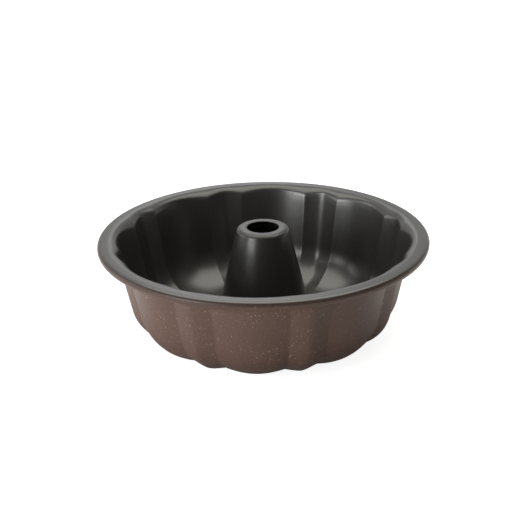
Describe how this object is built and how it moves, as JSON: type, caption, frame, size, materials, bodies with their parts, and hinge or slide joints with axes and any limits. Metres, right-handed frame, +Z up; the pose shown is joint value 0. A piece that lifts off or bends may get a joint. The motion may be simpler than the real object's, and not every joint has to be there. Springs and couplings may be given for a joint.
{
  "type": "fluted tube cake pan",
  "caption": "Round fluted tube cake pan of coated steel: deep shell with a flat curled rim, and a tapered open centre tube folded into its floor by a lock seam.",
  "frame": {"origin": "middle of the surface that the pan stands on, on the tube's axis", "axes": "+Z up along the tube's axis; -Y towards the viewer of the picture, +X to that viewer's right"},
  "size_m": [0.26, 0.26, 0.087],
  "materials": {
    "outside_coat": "satin",
    "inside_coat": "satin"
  },
  "bodies": {
    "root": {"fluted_shell": "outside_coat", "centre_tube": "inside_coat"}
  },
  "joints": []
}
